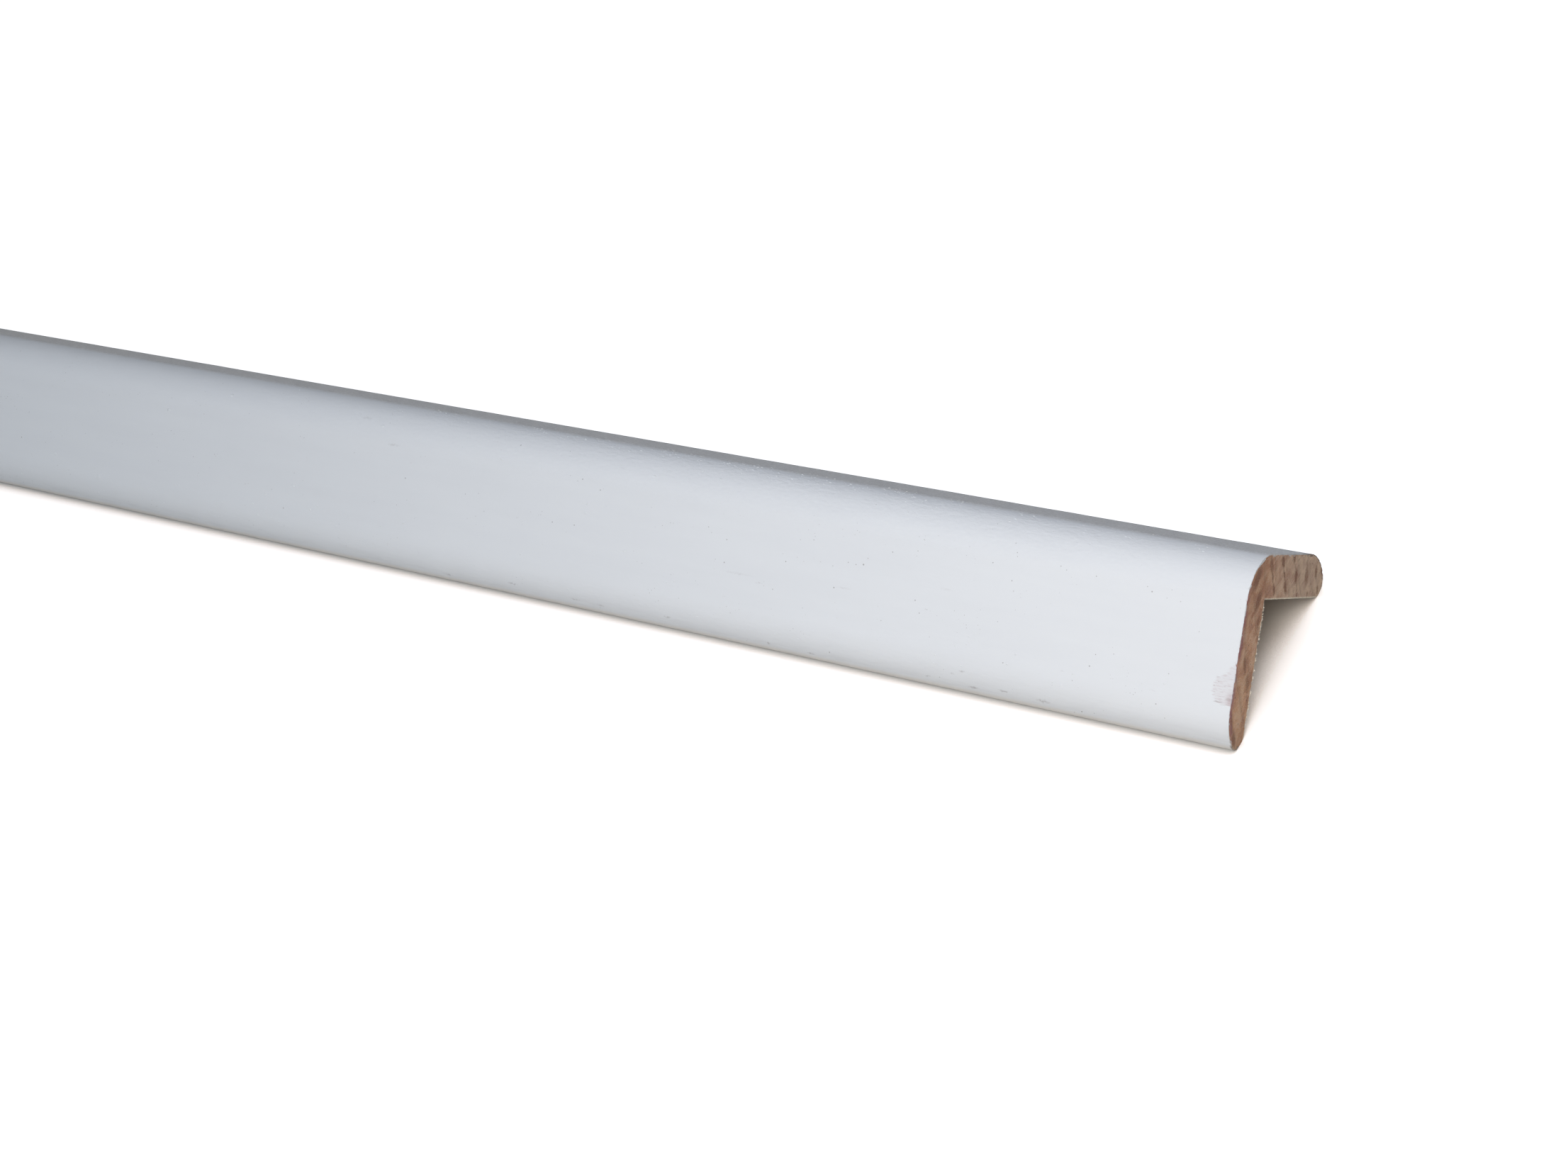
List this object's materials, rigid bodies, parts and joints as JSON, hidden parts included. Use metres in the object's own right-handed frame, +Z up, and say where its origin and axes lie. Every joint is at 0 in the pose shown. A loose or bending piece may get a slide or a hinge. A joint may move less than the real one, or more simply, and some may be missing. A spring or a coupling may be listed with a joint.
{
  "type": "rounded corner moulding",
  "caption": "Pine corner moulding: an L section with a rounded outer corner and rounded leg tips, painted white on its outer faces, sawn square at both ends.",
  "frame": {"origin": "on the floor, midway along the length and midway between the two leg tips that the moulding stands on", "axes": "+X along the length, +Z up through the rounded outer corner, one leg sloping down to -Y and the other to +Y"},
  "size_m": [2.4, 0.035, 0.0205],
  "materials": {
    "white_paint": "pine with a thin coat of white paint on its outer faces, satin, with a slight orange peel",
    "bare_pine": "bare planed pine on the inner faces, sawn end grain at the two ends"
  },
  "bodies": {
    "root": {"moulding": "white_paint"}
  },
  "joints": []
}
